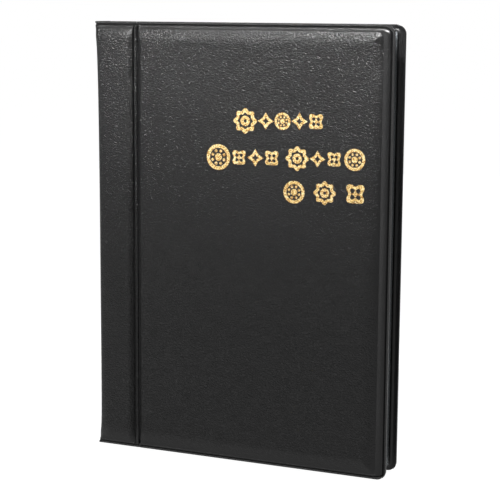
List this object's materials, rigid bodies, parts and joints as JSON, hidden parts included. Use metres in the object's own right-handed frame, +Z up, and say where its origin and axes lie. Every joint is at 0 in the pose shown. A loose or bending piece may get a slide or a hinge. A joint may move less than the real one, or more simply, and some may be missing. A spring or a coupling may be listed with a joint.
{
  "type": "coin album",
  "caption": "Padded vinyl coin album with welded borders, hinged front and back covers and a bound block of clear pocket pages.",
  "frame": {"origin": "centre of the footprint, on the surface the album stands on", "axes": "+Z up along the spine, -Y the front cover's outward side, +X from the spine to the fore edge"},
  "size_m": [0.13, 0.0188, 0.18],
  "materials": {
    "outer_vinyl": "leather-grained black vinyl, satin sheen",
    "inner_vinyl": "fine-grained black vinyl, satin",
    "foam": "soft open foam",
    "greyboard": "matt pressed greyboard",
    "clear_film": "clear soft vinyl film, glossy",
    "rivet_metal": "plated steel"
  },
  "bodies": {
    "binding": {"spine_skin": "outer_vinyl", "spine_lining": "inner_vinyl", "spine_board": "greyboard", "front_strip_foam": "foam", "back_strip_foam": "foam", "front_strip_board": "greyboard", "back_strip_board": "greyboard", "binding_rivet_lower": "rivet_metal", "binding_rivet_middle": "rivet_metal", "binding_rivet_upper": "rivet_metal", "front_hinge_web": "outer_vinyl", "back_hinge_web": "outer_vinyl", "page_01_margin": "clear_film", "page_02_margin": "clear_film", "page_03_margin": "clear_film", "page_04_margin": "clear_film", "page_05_margin": "clear_film", "page_06_margin": "clear_film", "page_07_margin": "clear_film", "page_08_margin": "clear_film", "page_09_margin": "clear_film", "page_10_margin": "clear_film"},
    "front_cover": {"front_cover_skin": "outer_vinyl", "front_cover_foam": "foam", "front_cover_board": "greyboard", "front_cover_lining": "inner_vinyl"},
    "back_cover": {"back_cover_skin": "outer_vinyl", "back_cover_foam": "foam", "back_cover_board": "greyboard", "back_cover_lining": "inner_vinyl"},
    "page_01": {"page_01_backing": "clear_film", "page_01_pockets": "clear_film"},
    "page_02": {"page_02_backing": "clear_film", "page_02_pockets": "clear_film"},
    "page_03": {"page_03_backing": "clear_film", "page_03_pockets": "clear_film"},
    "page_04": {"page_04_backing": "clear_film", "page_04_pockets": "clear_film"},
    "page_05": {"page_05_backing": "clear_film", "page_05_pockets": "clear_film"},
    "page_06": {"page_06_backing": "clear_film", "page_06_pockets": "clear_film"},
    "page_07": {"page_07_backing": "clear_film", "page_07_pockets": "clear_film"},
    "page_08": {"page_08_backing": "clear_film", "page_08_pockets": "clear_film"},
    "page_09": {"page_09_backing": "clear_film", "page_09_pockets": "clear_film"},
    "page_10": {"page_10_backing": "clear_film", "page_10_pockets": "clear_film"}
  },
  "joints": [
    {"name": "front_cover_hinge", "type": "hinge", "parent": "binding", "child": "front_cover", "pos_m": [-0.0465, -0.0091, 0], "axis": [0, 0, -1], "range_deg": [0, 178], "deforming": ["front_hinge_web"]},
    {"name": "back_cover_hinge", "type": "hinge", "parent": "binding", "child": "back_cover", "pos_m": [-0.0465, 0.0091, 0], "axis": [0, 0, 1], "range_deg": [0, 178], "deforming": ["back_hinge_web"]},
    {"name": "page_01_turn", "type": "hinge", "parent": "binding", "child": "page_01", "pos_m": [-0.0445, -0.00405, 0], "axis": [0, 0, -1], "range_deg": [0, 62.8], "deforming": ["page_01_margin"]},
    {"name": "page_02_turn", "type": "hinge", "parent": "binding", "child": "page_02", "pos_m": [-0.0445, -0.00315, 0], "axis": [0, 0, -1], "range_deg": [0, 56.6], "deforming": ["page_02_margin"]},
    {"name": "page_03_turn", "type": "hinge", "parent": "binding", "child": "page_03", "pos_m": [-0.0445, -0.00225, 0], "axis": [0, 0, -1], "range_deg": [0, 50.3], "deforming": ["page_03_margin"]},
    {"name": "page_04_turn", "type": "hinge", "parent": "binding", "child": "page_04", "pos_m": [-0.0445, -0.00135, 0], "axis": [0, 0, -1], "range_deg": [0, 44.1], "deforming": ["page_04_margin"]},
    {"name": "page_05_turn", "type": "hinge", "parent": "binding", "child": "page_05", "pos_m": [-0.0445, -0.00045, 0], "axis": [0, 0, -1], "range_deg": [0, 37.9], "deforming": ["page_05_margin"]},
    {"name": "page_06_turn", "type": "hinge", "parent": "binding", "child": "page_06", "pos_m": [-0.0445, 0.00045, 0], "axis": [0, 0, -1], "range_deg": [0, 31.6], "deforming": ["page_06_margin"]},
    {"name": "page_07_turn", "type": "hinge", "parent": "binding", "child": "page_07", "pos_m": [-0.0445, 0.00135, 0], "axis": [0, 0, -1], "range_deg": [0, 25.4], "deforming": ["page_07_margin"]},
    {"name": "page_08_turn", "type": "hinge", "parent": "binding", "child": "page_08", "pos_m": [-0.0445, 0.00225, 0], "axis": [0, 0, -1], "range_deg": [0, 19.2], "deforming": ["page_08_margin"]},
    {"name": "page_09_turn", "type": "hinge", "parent": "binding", "child": "page_09", "pos_m": [-0.0445, 0.00315, 0], "axis": [0, 0, -1], "range_deg": [0, 13], "deforming": ["page_09_margin"]},
    {"name": "page_10_turn", "type": "hinge", "parent": "binding", "child": "page_10", "pos_m": [-0.0445, 0.00405, 0], "axis": [0, 0, -1], "range_deg": [0, 6.7], "deforming": ["page_10_margin"]}
  ],
  "couplings": [
    {"joint": "page_01_turn", "follows": "front_cover_hinge", "ratio": 0.35},
    {"joint": "page_02_turn", "follows": "front_cover_hinge", "ratio": 0.315},
    {"joint": "page_03_turn", "follows": "front_cover_hinge", "ratio": 0.28},
    {"joint": "page_04_turn", "follows": "front_cover_hinge", "ratio": 0.245},
    {"joint": "page_05_turn", "follows": "front_cover_hinge", "ratio": 0.21},
    {"joint": "page_06_turn", "follows": "front_cover_hinge", "ratio": 0.175},
    {"joint": "page_07_turn", "follows": "front_cover_hinge", "ratio": 0.14},
    {"joint": "page_08_turn", "follows": "front_cover_hinge", "ratio": 0.105},
    {"joint": "page_09_turn", "follows": "front_cover_hinge", "ratio": 0.07},
    {"joint": "page_10_turn", "follows": "front_cover_hinge", "ratio": 0.035}
  ]
}
